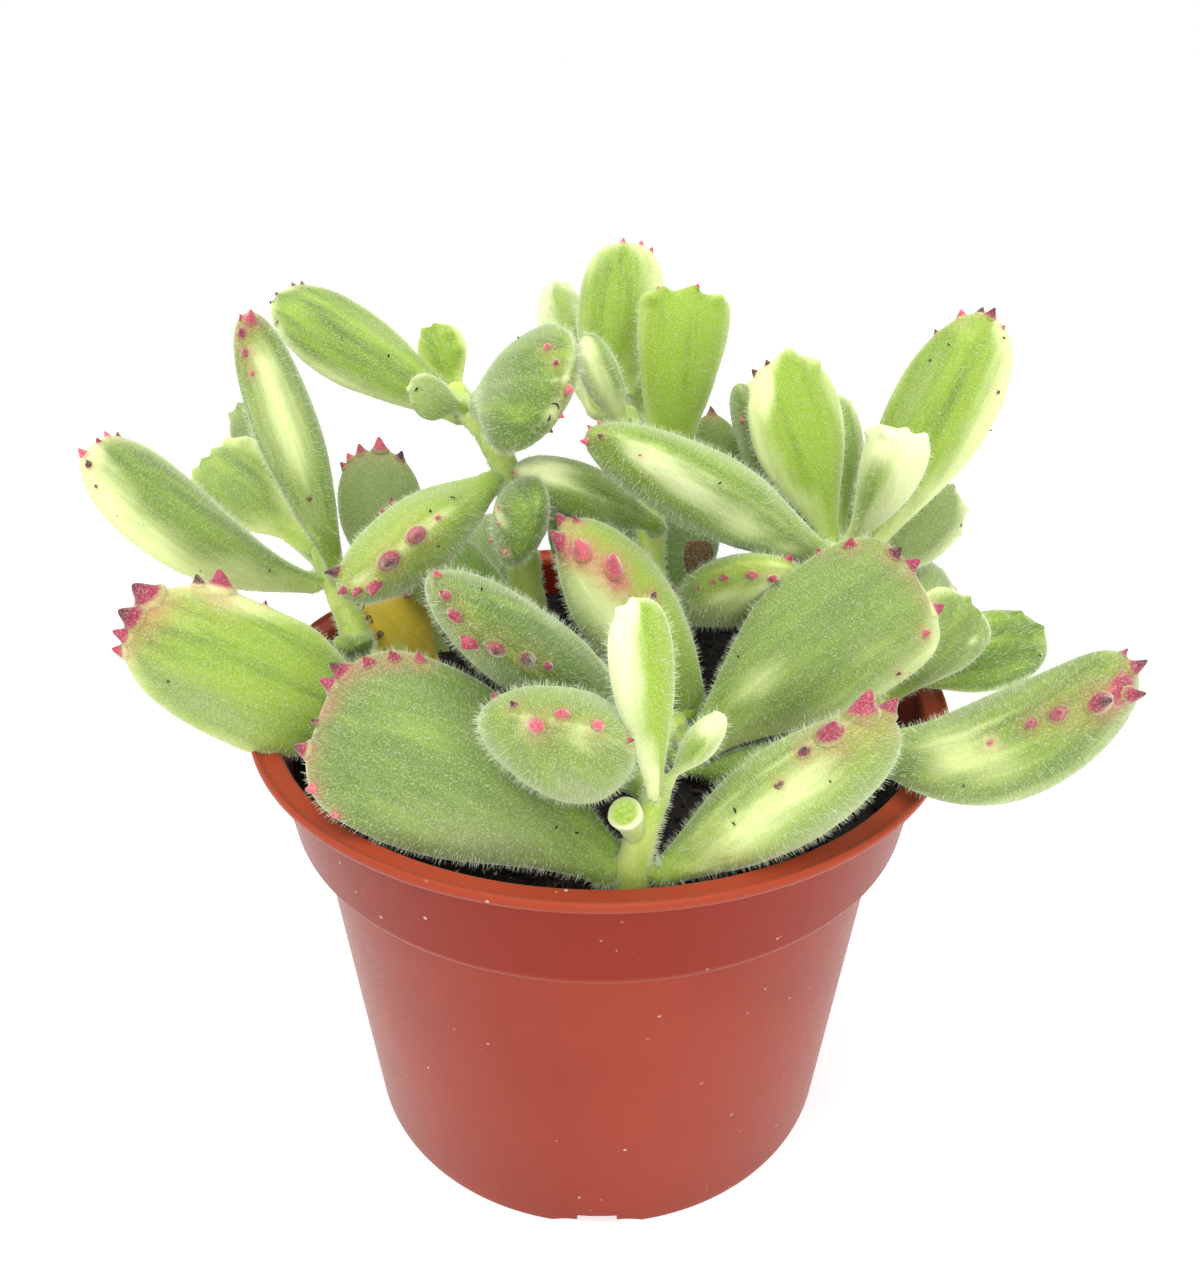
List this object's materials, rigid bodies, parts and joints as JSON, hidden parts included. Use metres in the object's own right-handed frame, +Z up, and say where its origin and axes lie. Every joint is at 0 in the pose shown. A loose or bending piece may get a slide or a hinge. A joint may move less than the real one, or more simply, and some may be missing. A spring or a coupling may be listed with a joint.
{
  "type": "potted variegated cubs paw",
  "caption": "Potted variegated cubs paw: short branching stems with thick, hairy, paddle-shaped leaves clawed at the tip, in a terracotta-brown plastic nursery pot.",
  "frame": {"origin": "middle of the pot's footprint, on the surface it stands on", "axes": "+Z up along the pot's axis, -Y towards the pictured side, +X to its right, which is also the widest way across the leaves"},
  "size_m": [0.1139, 0.085, 0.1079],
  "materials": {
    "pot_plastic": "satin injection-moulded polypropylene",
    "soil": "damp dark peat with fibres",
    "stem": "fleshy green stem under fine white hairs",
    "leaf": "fleshy green and cream leaf under fine white hairs",
    "dying_leaf": "withering yellow leaf"
  },
  "bodies": {
    "root": {"pot": "pot_plastic", "soil": "soil", "stem_left": "stem", "stem_tall_left": "stem", "stem_middle": "stem", "stem_centre": "stem", "stem_front": "stem", "stem_low_left": "stem", "stem_back_left": "stem", "stem_back_right": "stem", "stem_right": "stem", "left_leaf_low": "leaf", "left_leaf_crenate": "leaf", "left_leaf_upright": "leaf", "left_leaf_small": "leaf", "left_leaf_back": "leaf", "tall_left_leaf_top": "leaf", "tall_left_leaf_young": "leaf", "tall_left_leaf_bud": "leaf", "tall_left_leaf_round": "leaf", "tall_left_leaf_side": "leaf", "tall_left_leaf_front": "leaf", "tall_left_leaf_low": "leaf", "tall_left_leaf_back": "leaf", "middle_leaf_pale": "leaf", "middle_leaf_tall": "leaf", "middle_leaf_striped": "leaf", "middle_leaf_paw": "leaf", "middle_leaf_front": "leaf", "middle_leaf_inner": "leaf", "middle_leaf_low_back": "leaf", "middle_leaf_high_back": "leaf", "middle_leaf_right": "leaf", "centre_leaf_left": "leaf", "centre_leaf_tall": "leaf", "centre_leaf_right": "leaf", "centre_leaf_shaded": "leaf", "front_leaf_fan": "leaf", "front_leaf_right": "leaf", "front_leaf_pointing": "leaf", "front_leaf_young": "leaf", "front_leaf_youngest": "leaf", "low_left_leaf": "leaf", "back_left_leaf_paw": "leaf", "back_left_leaf_inner": "leaf", "back_left_leaf_dying": "dying_leaf", "back_right_leaf_edge": "leaf", "back_right_leaf_paw": "leaf", "back_right_leaf_fuzzy": "leaf", "back_right_leaf_tall": "leaf", "back_right_leaf_low": "leaf", "back_right_leaf_inner": "leaf", "back_right_leaf_dark": "leaf", "back_right_leaf_narrow": "leaf", "back_right_leaf_back": "leaf", "back_right_leaf_low_back": "leaf", "right_leaf_thick": "leaf", "right_leaf_crenate": "leaf", "right_leaf_bright": "leaf", "right_leaf_back": "leaf"}
  },
  "joints": []
}
